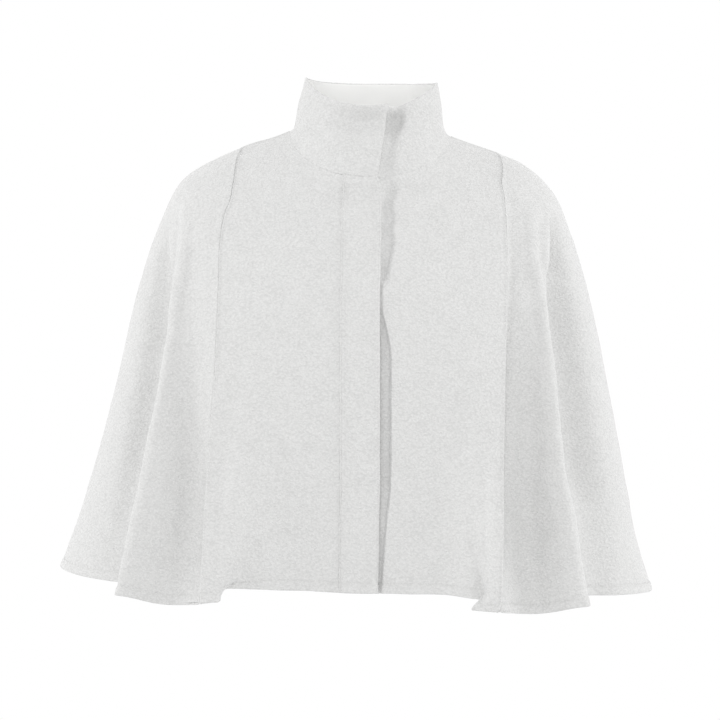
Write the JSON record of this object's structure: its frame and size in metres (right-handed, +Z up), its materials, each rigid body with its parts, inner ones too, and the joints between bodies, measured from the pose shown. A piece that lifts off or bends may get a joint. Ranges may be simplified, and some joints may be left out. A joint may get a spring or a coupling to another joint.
{
  "type": "cape jacket",
  "caption": "Hip-length flared cape jacket with a standing funnel collar, hidden-fastening placket at the front and long shoulder seams, held in its worn, hollow shape.",
  "frame": {"origin": "middle of the neck's base, between the shoulders that carry the jacket", "axes": "+Z up, front facing -Y, the wearer's left at +X"},
  "size_m": [0.6658, 0.3761, 0.5821],
  "materials": {
    "crepe": "matte, off-white, with a fine pebbled grain"
  },
  "bodies": {
    "root": {"front_right": "crepe", "front_left": "crepe", "placket": "crepe", "side_front_right": "crepe", "side_front_left": "crepe", "side_back_right": "crepe", "side_back_left": "crepe", "back": "crepe", "collar": "crepe"}
  },
  "joints": []
}
